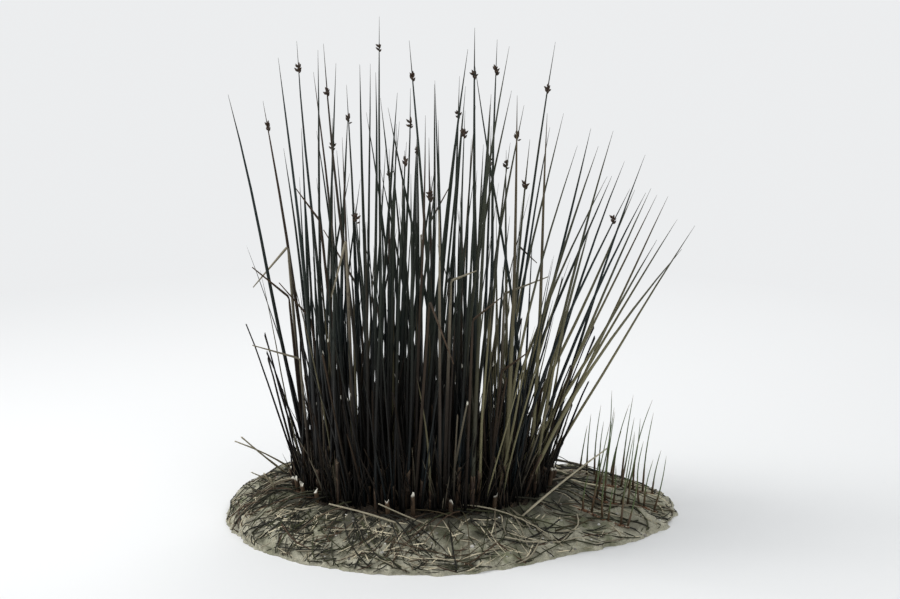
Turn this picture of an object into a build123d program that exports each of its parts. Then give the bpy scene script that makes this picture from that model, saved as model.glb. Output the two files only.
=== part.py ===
"""Bulrush clump: a dense tussock of three-sided culms standing on its root mat in a ring of sand.

Millimetres, +Z up. The origin is the centre of the root mat's flat underside. The front of the
clump faces -Y, and its long leaning culms and its creeping runners reach out towards +X.
"""
from build123d import *
import math
import os
import random
from typing import NamedTuple

os.makedirs("parts", exist_ok=True)

# Driving dimensions
MAT_LENGTH = 624.0                      # root mat, along X
MAT_WIDTH = 524.0                       # along Y
MAT_HEIGHT = 97.0                       # top of its low dome
FOOT_LENGTH = 536.0                     # ellipse that the feet of the culms fill
FOOT_WIDTH = 444.0
CULM_COUNT = 262
CULM_LENGTHS = (280.0, 1003.0)          # shortest and longest
SHORT_BIAS = 1.35                       # power by which short culms outnumber long ones; 1 is even
BIAS_SLOPE = 0.4                        # how much more so at the +X edge, and less at the -X edge
CULM_RADIUS = 5.0                       # corner radius of the three-sided section at a long culm's foot
CULM_CLEARANCE = 3.0                    # open space between neighbours
PLAN_GAP = 20.0                         # wider than any two radii and their clearance together
CULM_EMBED = 14.0                       # depth of a foot in the mat
FAN_X, FAN_Y = 70.0, 88.0               # how far the outermost culms fan out at their tips
FAN_SHIFT = 0.35                        # share of it by which the whole fan is swung towards +X
STRAY = 48.0                            # usual wandering of a tip from the even fan
WILD_SHARE = 0.3                        # share of the seedlings that lean back across the clump
WILD_STRAY = 105.0                      # usual wandering of their tips
WAVE = 8.0                              # greatest sideways wave of a culm
LEAN_START = 0.5                        # share of the foot's half-length where leaning culms begin
LEAN_SHARE = 0.38                       # share of the culms there that lean far out at +X
LEAN_REACH = (80.0, 260.0)              # how much further the tips of those reach
LEAN_LENGTHS = (820.0, 640.0)           # their lengths at the least and at the greatest reach
LONG_CULM = 540.0                       # culms from this length on have the sections of CULM_TAPER
THIN_COUNT = 75                         # slender culms between the others
THIN_LENGTHS = (240.0, 700.0)
THIN_RADIUS = 2.3
THIN_FAN = 0.2                          # run of their tips, as a share of their length, at the edge
THIN_STRAY = 0.15                       # how far that share wanders
OLD_COUNT = 145                         # withered culms standing low among the green ones
OLD_HEIGHTS = (170.0, 250.0, 440.0)     # least, usual and greatest
OLD_RADIUS = 3.3
OLD_LEAN = 0.2                          # greatest lean outwards and sideways
SHEATH_WALL = 0.7
SHEATH_START = 6.0                      # above the foot, still inside the mat
SHEATH_HEIGHTS = (55.0, 125.0)
SHEATH_SHARE = 0.85                     # culms with their feet beyond this share of the foot have sheaths
HEADS_PER_SECTOR = 3
SPIKELETS_PER_HEAD = 5
SPIKELET_LENGTH = 11.0
SPIKELET_RADIUS = 2.5
KINKED_COUNT = 16
STRAW_COUNT = 12
STRAW_RING = 0.61                       # their feet stand this share of the foot's size from its centre
STUB_COUNT = 22
STUB_RING = 0.53
SAND_LENGTH = 896.0                     # ring of sand without its apron
SAND_WIDTH = 790.0
APRON_REACH = 108.0                     # how far the sand runs on at +X
APRON_SWING = 0.75                      # half-angle of the apron, radians
BANK_RISE = 15.0                        # how much fuller the sand lies at its highest side
BANK_BEARING = 3.6                      # middle of that side, radians from +X
BANK_SWING = 0.9                        # its half-angle, radians
RUNNER_RADIUS = 5.0
RUNNER_START = 267.0                    # X inside the mat where the runners begin
SHOOT_RADIUS = 2.6
OUTLINE_CORNERS = 32
SAND_CORNERS = 70
SEED = 13

# Share of the way up a culm and share of its foot radius there, for long and for short ones
CULM_TAPER = ((0.0, 1.0), (0.27, 0.94), (0.53, 0.82), (0.78, 0.58), (1.0, 0.2))
SHORT_TAPER = ((0.0, 1.0), (0.5, 0.84), (1.0, 0.22))

# Share of a spikelet's length and share of its greatest radius, from its base on; its end is a point
SPIKELET_SHAPE = ((0.0, 0.3), (0.4, 1.0))

# Height and outline size of the root mat, underside to top
MAT_LEVELS = ((0.0, 0.955), (38.0, 1.0), (74.0, 0.95), (88.0, 0.8), (MAT_HEIGHT, 0.45))

# Height, inset from the edge, share of the apron and share of the hummocks of the sand's slope
SAND_LEVELS = (
    (0.0, 0.0, 1.0, 0.0),
    (9.0, 6.0, 0.99, 0.2),
    (17.0, 26.0, 0.92, 0.8),
    (26.0, 50.0, 0.76, 1.0),
    (36.0, 72.0, 0.54, 1.0),
    (48.0, 94.0, 0.26, 1.0),
    (61.0, 116.0, 0.05, 0.7),
    (73.0, 156.0, 0.0, 0.0),
)
SAND_TOP = SAND_LEVELS[-1][0]

# Hummocks of the sand: wavelength, height, bearing and phase of each of the waves that make them up
SAND_WAVES = (
    (210.0, 3.2, 0.4, 1.0),
    (170.0, 3.2, 1.5, 4.2),
    (132.0, 2.8, 2.5, 2.9),
    (98.0, 2.4, 0.9, 0.3),
    (84.0, 2.0, 2.1, 5.1),
    (78.0, 1.8, 0.1, 2.2),
)

# Name of a sector of the clump and the bearing of its middle, degrees from +X
SECTORS = (
    ("right", 0),
    ("back_right", 45),
    ("back", 90),
    ("back_left", 135),
    ("left", 180),
    ("front_left", 225),
    ("front", 270),
    ("front_right", 315),
)

# Name of a quarter of the clump and the bearing of its middle, degrees from +X
QUARTERS = (
    ("right", 0),
    ("back", 90),
    ("left", 180),
    ("front", 270),
)

# Runner number, Y where it leaves the mat, Y at its tip, X at its tip, shoots along it
RUNNERS = (
    (1, -112, -158, 446, 6),
    (2, -42, -66, 516, 8),
    (3, 36, 50, 520, 8),
    (4, 106, 148, 456, 6),
)


class Stem(NamedTuple):
    joints: list            # points of the axis, foot to tip
    radii: list             # corner radius of the section at each joint
    turn: float             # turn of the section about the axis, radians
    sheath: float = 0.0     # height of the sheath round the foot, where it has one


def segment_gap(p, q, r, s):
    """Shortest distance between the straight pieces p-q and r-s."""
    u = [b - a for a, b in zip(p, q)]
    v = [b - a for a, b in zip(r, s)]
    w = [a - b for a, b in zip(p, r)]
    uu = sum(a * a for a in u)
    vv = sum(a * a for a in v)
    uv = sum(a * b for a, b in zip(u, v))
    uw = sum(a * b for a, b in zip(u, w))
    vw = sum(a * b for a, b in zip(v, w))
    spread = uu * vv - uv * uv
    along = min(1.0, max(0.0, (uv * vw - vv * uw) / spread)) if spread > 0 else 0.0
    across = (uv * along + vw) / vv
    if across < 0.0:
        across, along = 0.0, min(1.0, max(0.0, -uw / uu))
    elif across > 1.0:
        across, along = 1.0, min(1.0, max(0.0, (uv - uw) / uu))
    return math.dist([a + along * b for a, b in zip(p, u)], [a + across * b for a, b in zip(r, v)])


def far_apart(stem, other):
    """True where the plans of two stems lie so far apart that their thickness doesn't matter."""
    for own, its in zip(list(zip(*stem.joints))[:2], list(zip(*other.joints))[:2]):
        if max(own) + PLAN_GAP < min(its) or max(its) + PLAN_GAP < min(own):
            return True
    return False


def stands_clear(stem, others, clearance):
    """True where the stem keeps the clearance from every other one."""
    for other in others:
        if far_apart(stem, other):
            continue
        for a in range(len(stem.joints) - 1):
            for b in range(len(other.joints) - 1):
                gap = segment_gap(stem.joints[a], stem.joints[a + 1], other.joints[b], other.joints[b + 1])
                if gap < stem.radii[a] + other.radii[b] + clearance:
                    return False
    return True


def foot_height(share):
    """Height of a foot inside the domed mat, for its share of the way to the edge."""
    return MAT_HEIGHT - CULM_EMBED - 19.0 * share ** 2


def green_culm(rng, share, angle):
    """One upright culm, bowed and gently waved; some lean back across the clump or far out at +X."""
    x = FOOT_LENGTH / 2 * share * math.cos(angle) + rng.uniform(-8, 8)
    y = FOOT_WIDTH / 2 * share * math.sin(angle) + rng.uniform(-8, 8)
    out_x, out_y = 2 * x / FOOT_LENGTH, 2 * y / FOOT_WIDTH
    run_x = FAN_X * (out_x + FAN_SHIFT) + rng.gauss(0, STRAY)
    run_y = FAN_Y * out_y + rng.gauss(0, STRAY)
    shortest, longest = CULM_LENGTHS
    length = shortest + (longest - shortest) * rng.random() ** (SHORT_BIAS + BIAS_SLOPE * out_x)
    run_x *= length / longest
    run_y *= length / longest
    if out_x > LEAN_START and rng.random() < LEAN_SHARE:
        far = rng.random()
        run_x = FAN_X * (out_x + FAN_SHIFT) + LEAN_REACH[0] + far * (LEAN_REACH[1] - LEAN_REACH[0])
        length = LEAN_LENGTHS[0] + far * (LEAN_LENGTHS[1] - LEAN_LENGTHS[0])
    elif rng.random() < WILD_SHARE:
        run_x = rng.gauss(-0.5 * x, WILD_STRAY) * length / longest
        run_y = rng.gauss(-0.5 * y, WILD_STRAY) * length / longest
    foot = foot_height(min(1.0, math.hypot(out_x, out_y)))
    rise = math.sqrt(length ** 2 - run_x ** 2 - run_y ** 2)
    bow = rng.uniform(0.0, 0.42)
    wave, phase, bearing = rng.uniform(0, WAVE), rng.uniform(0, math.tau), rng.uniform(0, math.tau)
    radius = CULM_RADIUS * rng.uniform(0.78, 1.05) * (0.72 + 0.28 * length / longest)
    joints, radii = [], []
    for way, thickness in CULM_TAPER if length >= LONG_CULM else SHORT_TAPER:
        drift = way * (1 - bow) + bow * way ** 2
        swing = wave * (math.sin(phase + 5 * way) - math.sin(phase))
        joints.append((
            x + run_x * drift + swing * math.cos(bearing),
            y + run_y * drift + swing * math.sin(bearing),
            foot + rise * way,
        ))
        radii.append(radius * thickness)
    sheath = rng.uniform(*SHEATH_HEIGHTS) if math.hypot(out_x, out_y) > SHEATH_SHARE else 0.0
    return Stem(joints, radii, rng.uniform(0, math.tau), sheath)


def grow_culms(rng):
    """All green culms, packed evenly over the foot and clear of one another."""
    grown = []
    golden = math.pi * (3 - math.sqrt(5))
    for number in rng.sample(range(CULM_COUNT), CULM_COUNT):
        share = math.sqrt((number + 0.5) / CULM_COUNT)
        for attempt in range(150):
            culm = green_culm(rng, share, number * golden)
            if stands_clear(culm, grown, CULM_CLEARANCE):
                grown.append(culm)
                break
    return grown


def thin_culm(rng):
    """One slender culm, bowed outwards."""
    angle, share = rng.uniform(-math.pi, math.pi), math.sqrt(rng.random())
    out_x, out_y = share * math.cos(angle), share * math.sin(angle)
    x, y = FOOT_LENGTH / 2 * out_x, FOOT_WIDTH / 2 * out_y
    length = rng.uniform(*THIN_LENGTHS)
    run_x = length * (THIN_FAN * out_x + rng.uniform(-THIN_STRAY, THIN_STRAY))
    run_y = length * (THIN_FAN * out_y + rng.uniform(-THIN_STRAY, THIN_STRAY))
    foot, bow = foot_height(share), rng.uniform(0.0, 0.5)
    joints = []
    for way, thickness in SHORT_TAPER:
        drift = way * (1 - bow) + bow * way ** 2
        joints.append((x + run_x * drift, y + run_y * drift, foot + length * way))
    radius = THIN_RADIUS * rng.uniform(0.85, 1.15)
    return Stem(joints, [radius * thickness for way, thickness in SHORT_TAPER], rng.uniform(0, math.tau))


def old_culm(rng):
    """One straight withered culm with its top broken off, low among the green ones."""
    angle, share = rng.uniform(-math.pi, math.pi), math.sqrt(rng.random())
    out_x, out_y = share * math.cos(angle), share * math.sin(angle)
    x, y = FOOT_LENGTH / 2 * out_x, FOOT_WIDTH / 2 * out_y
    least, usual, greatest = OLD_HEIGHTS
    height = rng.triangular(least, greatest, usual)
    run_x = height * OLD_LEAN * (out_x + rng.uniform(-1, 1))
    run_y = height * OLD_LEAN * (out_y + rng.uniform(-1, 1))
    foot = foot_height(share)
    radius = OLD_RADIUS * rng.uniform(0.8, 1.15)
    return Stem([(x, y, foot), (x + run_x, y + run_y, foot + height)], [radius, 0.5 * radius],
                rng.uniform(0, math.tau))


def kinked_culm(rng):
    """One dead culm, snapped over above its middle and pointing out of the clump."""
    angle = rng.uniform(-math.pi, math.pi)
    share = rng.uniform(0.55, 1.0)
    x, y = FOOT_LENGTH / 2 * share * math.cos(angle), FOOT_WIDTH / 2 * share * math.sin(angle)
    heading = math.atan2(y, x) + rng.uniform(-0.6, 0.6)
    across, up = math.cos(heading), math.sin(heading)
    height = rng.uniform(300, 640)
    lean = rng.uniform(0.02, 0.15)
    bend = math.radians(rng.choice((-1, 1, 1)) * rng.uniform(18, 56))
    arm = rng.uniform(90, 180)
    radius = CULM_RADIUS * rng.uniform(0.7, 0.95)
    foot = foot_height(share)
    kink = (x + lean * height * across, y + lean * height * up, foot + height)
    tip = (
        kink[0] + arm * math.cos(bend) * across,
        kink[1] + arm * math.cos(bend) * up,
        kink[2] + arm * math.sin(bend),
    )
    return Stem([(x, y, foot), kink, tip], [radius, 0.75 * radius, 0.3 * radius], rng.uniform(0, math.tau))


def fallen_culm(rng):
    """One pale straw stuck in the sand beside the mat and slanting along the clump's foot."""
    angle = rng.uniform(-math.pi, math.pi)
    x, y = STRAW_RING * FOOT_LENGTH * math.cos(angle), STRAW_RING * FOOT_WIDTH * math.sin(angle)
    heading = angle + rng.choice((-1, 1)) * rng.uniform(1.2, 1.7)
    slope = math.radians(rng.uniform(14, 38))
    length = rng.uniform(130, 260)
    radius = CULM_RADIUS * rng.uniform(0.44, 0.62)
    foot = SAND_TOP - 16
    tip = (
        x + length * math.cos(slope) * math.cos(heading),
        y + length * math.cos(slope) * math.sin(heading),
        foot + length * math.sin(slope),
    )
    return Stem([(x, y, foot), tip], [radius, 0.6 * radius], rng.uniform(0, math.tau))


def broken_stub(rng):
    """One stub of an old culm at the edge of the foot."""
    angle = rng.uniform(-math.pi, math.pi)
    x, y = STUB_RING * FOOT_LENGTH * math.cos(angle), STUB_RING * FOOT_WIDTH * math.sin(angle)
    foot = foot_height(1.0) - 4
    height = rng.uniform(38, 75)
    radius = CULM_RADIUS * rng.uniform(0.95, 1.2)
    top = (1.04 * x, 1.04 * y, foot + height)
    return Stem([(x, y, foot), top], [radius, 0.92 * radius], rng.uniform(0, math.tau))


def grow_more(make, wanted, rng, others):
    """Further stems of one kind that keep clear of all the others and of their sheaths."""
    grown = []
    for attempt in range(80 * wanted):
        stem = make(rng)
        if stands_clear(stem, others + grown, CULM_CLEARANCE + 2 * SHEATH_WALL):
            grown.append(stem)
        if len(grown) == wanted:
            break
    return grown


def lobes(angle):
    """Share by which an outline swells and shrinks on its way round."""
    return 1 + 0.02 * math.sin(3 * angle + 0.7) + 0.012 * math.sin(5 * angle + 2.1)


def mat_outline(level, size, angle):
    """Point of the root mat's edge at one level."""
    reach = size * lobes(angle)
    return MAT_LENGTH / 2 * reach * math.cos(angle), MAT_WIDTH / 2 * reach * math.sin(angle), level


def hummocks(x, y):
    """Height that the sand's hummocks add at a point, or its hollows take away."""
    return sum(
        height * math.sin(math.tau * (x * math.cos(bearing) + y * math.sin(bearing)) / length + phase)
        for length, height, bearing, phase in SAND_WAVES
    )


def sand_point(level, inset, apron, rough, angle):
    """Point of the sand's slope, with its apron drawn out at +X and its bank heaped up at one side."""
    reach = lobes(angle) - 4 * inset / (SAND_LENGTH + SAND_WIDTH)
    swing = (angle + math.pi) % math.tau - math.pi
    tongue = APRON_REACH * apron * math.exp(-((swing / APRON_SWING) ** 4))
    x = SAND_LENGTH / 2 * reach * math.cos(angle) + tongue
    y = SAND_WIDTH / 2 * reach * math.sin(angle)
    bank = BANK_RISE * math.exp(-(((angle - BANK_BEARING) / BANK_SWING) ** 2))
    return x, y, level + rough * (hummocks(x, y) + bank)


def sand_height(x, y):
    """Height of the sand's slope under a point on the +X side."""
    edges = []
    for level, inset, apron, rough in SAND_LEVELS:
        angle = math.asin(y / (SAND_WIDTH / 2 - inset))
        edge = sand_point(level, inset, apron, rough, angle)
        edges.append((edge[0], edge[2]))
    for (outer, low), (inner, high) in zip(edges, edges[1:]):
        if inner <= x <= outer:
            return low + (high - low) * (outer - x) / (outer - inner)
    return SAND_TOP if x < edges[-1][0] else 0.0


def sand_solid():
    """Mound of sand with a level underside and top and a slope of flat triangles between them."""
    angles = [math.tau * step / SAND_CORNERS for step in range(SAND_CORNERS)]
    rings = [[sand_point(*level, angle) for angle in angles] for level in SAND_LEVELS]
    outlines = [rings[0][::-1], rings[-1]]
    for low, high in zip(rings, rings[1:]):
        for here in range(SAND_CORNERS):
            after = (here + 1) % SAND_CORNERS
            outlines.append([low[here], low[after], high[after]])
            outlines.append([low[here], high[after], high[here]])
    return Solid(Shell([Face(Wire.make_polygon(outline)) for outline in outlines]))


def runner_stem(near_y, far_y, reach):
    """One rhizome that creeps out of the mat and on along the sand's slope, half sunk in it."""
    joints = []
    for step in range(7):
        way = step / 6
        x = RUNNER_START + (reach - RUNNER_START) * way
        y = near_y + (far_y - near_y) * way + 7 * math.sin(math.tau * way)
        joints.append((x, y, min(sand_height(x, y), 52.0)))
    return Stem(joints, [RUNNER_RADIUS * (1.0 - 0.07 * step) for step in range(7)], 0.0)


def young_shoot(rng, runner, way):
    """One young shoot that stands on a runner, at a share of its joints from mat to tip."""
    place = way * (len(runner.joints) - 1)
    before = min(int(place), len(runner.joints) - 2)
    part = place - before
    x, y, z = (a + part * (b - a) for a, b in zip(runner.joints[before], runner.joints[before + 1]))
    height = rng.uniform(80, 225)
    tip = (x + 0.2 * height * rng.uniform(0.2, 1), y + 0.12 * height * rng.uniform(-1, 1), z + height)
    return Stem([(x, y, z), tip], [SHOOT_RADIUS, 0.7], rng.uniform(0, math.tau))


def corner_ring(plane, radius, turn=0.0, sides=3):
    """Corner points of a regular section on a plane."""
    angles = [turn + math.tau * corner / sides for corner in range(sides)]
    return [plane.from_local_coords(Vector(radius * math.cos(a), radius * math.sin(a), 0)) for a in angles]


def level_rings(stem):
    """Level sections of an upright stem."""
    sections = zip(stem.joints, stem.radii)
    return [corner_ring(Plane(origin=joint), radius, stem.turn) for joint, radius in sections]


def square_rings(stem, sides=3):
    """Sections square to the axis of a bent, slanting or creeping stem."""
    rings = []
    last = len(stem.joints) - 1
    for place, joint in enumerate(stem.joints):
        along = Vector(*stem.joints[min(place + 1, last)]) - Vector(*stem.joints[max(place - 1, 0)])
        plane = Plane(origin=joint, x_dir=Vector(-along.Y, along.X, 0), z_dir=along)
        rings.append(corner_ring(plane, stem.radii[place], stem.turn, sides))
    return rings


def stem_solid(rings):
    """Stem made of one convex length from each section to the next."""
    with BuildPart() as stem:
        for low, high in zip(rings, rings[1:]):
            ConvexPolyhedron(low + high)
    return stem.part


def point_on(stem, height):
    """Point and section radius of an upright stem at a height above its foot."""
    level = stem.joints[0][2] + height
    for low, high, wide, narrow in zip(stem.joints, stem.joints[1:], stem.radii, stem.radii[1:]):
        if level <= high[2]:
            part = (level - low[2]) / (high[2] - low[2])
            return [a + part * (b - a) for a, b in zip(low, high)], wide + part * (narrow - wide)


def sheath_solid(stem):
    """Three-sided sleeve close round the foot of a culm, thinner towards its open mouth."""
    outside, inside = [], []
    for height, wall in ((SHEATH_START, SHEATH_WALL), (stem.sheath, 0.55 * SHEATH_WALL)):
        point, radius = point_on(stem, height)
        outside += corner_ring(Plane(origin=point), radius + 2 * wall, stem.turn)
        inside += corner_ring(Plane(origin=point), radius, stem.turn)
    with BuildPart() as sleeve:
        ConvexPolyhedron(outside)
        ConvexPolyhedron(inside, mode=Mode.SUBTRACT)
    return sleeve.part


def head_solids(stem):
    """Pointed spikelets seated round the culm below its tip, each a little above the last."""
    rng = random.Random(round(1000 * stem.turn))
    point, radius = point_on(stem, rng.uniform(0.86, 0.95) * (stem.joints[-1][2] - stem.joints[0][2]))
    first = rng.uniform(0, math.tau)
    spikelets = []
    for number in range(SPIKELETS_PER_HEAD):
        bearing = first + math.tau * number / SPIKELETS_PER_HEAD + rng.uniform(-0.35, 0.35)
        slope = math.radians(rng.uniform(30, 74))
        level = math.cos(slope)
        out = Vector(level * math.cos(bearing), level * math.sin(bearing), math.sin(slope))
        foot = Vector(point[0], point[1], point[2] + 1.6 * number) + out * (0.35 * radius)
        size = rng.uniform(0.8, 1.1)
        corners = [foot + out * (size * SPIKELET_LENGTH)]
        for reach, girth in SPIKELET_SHAPE:
            plane = Plane(origin=foot + out * (reach * size * SPIKELET_LENGTH), z_dir=out)
            corners += corner_ring(plane, girth * size * SPIKELET_RADIUS, sides=4)
        with BuildPart() as spikelet:
            ConvexPolyhedron(corners)
        spikelets.append(spikelet.part)
    return spikelets


def in_sector(stem, bearing, sectors):
    """True where the stem's foot lies in the one of the equal sectors that has this bearing."""
    foot = math.degrees(math.atan2(stem.joints[0][1], stem.joints[0][0]))
    return abs((foot - bearing + 180) % 360 - 180) <= 180 / len(sectors)


rng = random.Random(SEED)
culms = grow_culms(rng)
kinked = grow_more(kinked_culm, KINKED_COUNT, rng, culms)
straws = grow_more(fallen_culm, STRAW_COUNT, rng, culms + kinked)
stubs = grow_more(broken_stub, STUB_COUNT, rng, culms + kinked + straws)
slender = grow_more(thin_culm, THIN_COUNT, rng, culms + kinked + straws + stubs)
withered = grow_more(old_culm, OLD_COUNT, rng, culms + kinked + straws + stubs + slender)

outline_angles = [math.tau * step / OUTLINE_CORNERS for step in range(OUTLINE_CORNERS)]

# Root mat, a low dome that is convex all round
with BuildPart() as root_mat:
    ConvexPolyhedron([mat_outline(*level, angle) for level in MAT_LEVELS for angle in outline_angles])
root_mat.part.label = "root_mat"
export_step(root_mat.part, "parts/root_mat.step")

# Sand heaped against the mat, in hummocks and with a fuller bank at one side
heap = sand_solid()
with BuildPart() as sand_collar:
    add(heap)
    add(root_mat.part, mode=Mode.SUBTRACT)
sand_collar.part.label = "sand_collar"
export_step(sand_collar.part, "parts/sand_collar.step")

# Culms, sheaths and heads, sector by sector
for name, bearing in SECTORS:
    own = [stem for stem in culms + slender if in_sector(stem, bearing, SECTORS)]
    tallest = sorted(own, key=lambda stem: -stem.joints[-1][2])[:4 * HEADS_PER_SECTOR]
    culm_solids = [stem_solid(level_rings(stem)) for stem in own]
    sleeves = [sheath_solid(stem) for stem in own if stem.sheath]
    spikelets = [head_solids(stem) for stem in tallest[::4]]

    with BuildPart() as sector_culms:
        add(culm_solids)
    sector_culms.part.label = f"culms_{name}"
    export_step(sector_culms.part, f"parts/culms_{name}.step")

    with BuildPart() as sector_sheaths:
        add(sleeves)
    sector_sheaths.part.label = f"sheaths_{name}"
    export_step(sector_sheaths.part, f"parts/sheaths_{name}.step")

    with BuildPart() as sector_heads:
        for cluster in spikelets:
            add(cluster)
    sector_heads.part.label = f"heads_{name}"
    export_step(sector_heads.part, f"parts/heads_{name}.step")

# Withered culms, quarter by quarter
for name, bearing in QUARTERS:
    withered_solids = [stem_solid(level_rings(stem)) for stem in withered if in_sector(stem, bearing, QUARTERS)]
    with BuildPart() as quarter_culms:
        add(withered_solids)
    quarter_culms.part.label = f"old_culms_{name}"
    export_step(quarter_culms.part, f"parts/old_culms_{name}.step")

# Dead pieces among and beside the green culms
kinked_solids = [stem_solid(square_rings(stem)) for stem in kinked]
with BuildPart() as dead_culms:
    add(kinked_solids)
dead_culms.part.label = "dead_culms"
export_step(dead_culms.part, "parts/dead_culms.step")

straw_solids = [stem_solid(square_rings(stem)) for stem in straws]
with BuildPart() as fallen_straw:
    add(straw_solids)
fallen_straw.part.label = "fallen_straw"
export_step(fallen_straw.part, "parts/fallen_straw.step")

stub_solids = [stem_solid(level_rings(stem)) for stem in stubs]
with BuildPart() as broken_stubs:
    add(stub_solids)
broken_stubs.part.label = "broken_stubs"
export_step(broken_stubs.part, "parts/broken_stubs.step")

# Runners and the young shoots on them
for number, near_y, far_y, reach, shoot_count in RUNNERS:
    creeping = runner_stem(near_y, far_y, reach)
    rhizome = stem_solid(square_rings(creeping, sides=6))
    gap = 0.5 / (shoot_count - 1)
    places = [0.46 + gap * (place + rng.uniform(-0.3, 0.3)) for place in range(shoot_count)]
    shoots = [young_shoot(rng, creeping, place) for place in places]
    shoot_solids = [stem_solid(level_rings(shoot)) for shoot in shoots]

    with BuildPart() as runner:
        add(rhizome)
    runner.part.label = f"runner_{number}"
    export_step(runner.part, f"parts/runner_{number}.step")

    with BuildPart() as runner_shoots:
        add(shoot_solids)
    runner_shoots.part.label = f"shoots_{number}"
    export_step(runner_shoots.part, f"parts/shoots_{number}.step")
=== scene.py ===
"""Dresses the bulrush clump: rounded culms, ragged sheaths, spikelet heads, straw, thatch and sand."""

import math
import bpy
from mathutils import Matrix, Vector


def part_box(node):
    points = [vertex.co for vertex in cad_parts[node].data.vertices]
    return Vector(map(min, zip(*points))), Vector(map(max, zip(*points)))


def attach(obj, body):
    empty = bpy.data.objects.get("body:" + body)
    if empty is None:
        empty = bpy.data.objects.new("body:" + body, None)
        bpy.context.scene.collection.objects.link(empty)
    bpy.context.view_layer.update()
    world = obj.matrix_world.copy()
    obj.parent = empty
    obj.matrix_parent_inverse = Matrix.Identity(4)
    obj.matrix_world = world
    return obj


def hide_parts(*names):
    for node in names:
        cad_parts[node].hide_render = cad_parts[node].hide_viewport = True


bl_info = {
    "name": "Bulrush Clump",
    "version": (1, 0, 0),
    "blender": (4, 5, 0),
    "location": "View3D > Sidebar > Clump",
    "description": "Grows a finished bulrush clump on the axes of its packed solids",
    "category": "Object",
}

import bpy
import numpy as np
from mathutils import Vector

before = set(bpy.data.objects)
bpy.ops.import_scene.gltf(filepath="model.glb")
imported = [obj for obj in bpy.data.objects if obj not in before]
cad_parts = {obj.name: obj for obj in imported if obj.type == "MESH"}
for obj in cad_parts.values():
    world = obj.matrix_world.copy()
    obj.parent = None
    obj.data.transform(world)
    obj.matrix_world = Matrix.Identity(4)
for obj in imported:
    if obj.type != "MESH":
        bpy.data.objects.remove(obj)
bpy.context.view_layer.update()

SECTORS = ("right", "back_right", "back", "back_left", "left", "front_left", "front", "front_right")
QUARTERS = ("right", "back", "left", "front")
RUNNERS = (1, 2, 3, 4)
CULM_MARKS = np.array((0.0, 0.27, 0.53, 0.78, 1.0))     # where a long culm has sections, as shares
SECTION_REACH = 0.012       # corners of one section of a solid stem lie this close together
SHEATH_FOOT = 0.006         # a sheath starts this far up its culm
SHEATH_TEAR = 0.016         # the deepest tear in its mouth
SHEATH_LAYERS = ((1.0, 0.0007), (0.62, 0.0013))     # share of its height and wall of each layer
SHEATH_CORNERS = 9
HEAD_GAP = 0.03             # solid spikelets of one head lie this close together
SPIKELET_GIRTH = np.array((0.3, 0.72, 1.0, 0.98, 0.78, 0.44, 0.08))     # shares, from its foot to its tip
RUNNER_JOINTS = 14

MAT_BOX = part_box("root_mat")
MAT_HEIGHT = MAT_BOX[1].z
MAT_HALF = (MAT_BOX[1] - MAT_BOX[0]) / 2
MAT_SHRINK = 1.012          # the grown outline is smaller by this, to lie inside the solid
THATCH_HALF = (0.282, 0.234)        # half-sizes of the ovals that the thatch and the low culms stand on
LOW_CULM_HALF = (0.268, 0.222)
# Height as a share of the mat's height and outline size, as the solid mat has them
MAT_PROFILE = np.array([(0.0, 0.955), (0.39, 1.0), (0.76, 0.95), (0.907, 0.8), (1.0, 0.45), (1.0, 0.0)])

# Height, inset from the edge, share of the apron and share of the hummocks, as the solid sand has them
SAND_PROFILE = np.array([
    (0.0, 0.0, 1.0, 0.0), (0.009, 0.006, 0.99, 0.2), (0.017, 0.026, 0.92, 0.8),
    (0.026, 0.050, 0.76, 1.0), (0.036, 0.072, 0.54, 1.0), (0.048, 0.094, 0.26, 1.0),
    (0.061, 0.116, 0.05, 0.7), (0.073, 0.156, 0.0, 0.0)])
# Wavelength, height, bearing and phase of the waves that make its hummocks
SAND_WAVES = np.array([
    (0.210, 0.0032, 0.4, 1.0), (0.170, 0.0032, 1.5, 4.2), (0.132, 0.0028, 2.5, 2.9),
    (0.098, 0.0024, 0.9, 0.3), (0.084, 0.0020, 2.1, 5.1), (0.078, 0.0018, 0.1, 2.2)])
SAND_HALF = (0.448, 0.395)
SAND_REACH = 0.40           # about how far its edge is from the middle
SAND_INNER = 0.9            # its inner wall, as a share of the mat's outline
SLOPE_LENGTH = 0.19         # from its edge to inside the mat
APRON_REACH = 0.108
APRON_SWING = 0.75
BANK_HEIGHT = 0.015
BANK_BEARING = 3.6
BANK_SWING = 0.9
FRAY_DEPTH = 0.005          # mean depth of the notches in its rim
FRONT_LEFT = 4.1            # bearing where the litter lies densest

PICTURE = (900, 599)
AIM = Vector((0.06, 0.0, 0.485))
FLOOR_REACH = 30.0
FLOOR_FADE = (0.75, 2.4)    # the floor turns into the backdrop between these distances
DOME_COLOUR = (0.93, 0.96, 1.0)
DOME_STRENGTH = 0.62
# Name, place, size in metres and power in watts of each lamp
LAMPS = (
    ("key", (-3.0, 0.3, 3.4), 2.0, 120.0),
    ("fill", (2.2, -3.6, 2.6), 3.0, 44.0),
    ("back", (1.4, 3.2, 2.6), 2.4, 45.0),
)


def number(name, description, default, least=0):
    """A property that counts something."""
    return bpy.props.IntProperty(name=name, description=description, default=default, min=least)


def length(name, description, default):
    """A property that measures something in metres."""
    return bpy.props.FloatProperty(name=name, description=description, default=default, unit="LENGTH")


def colour(name, description, default):
    """A colour property with its alpha left out."""
    return bpy.props.FloatVectorProperty(
        name=name, description=description, subtype="COLOR", size=3, min=0.0, max=1.0, default=default)


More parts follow.
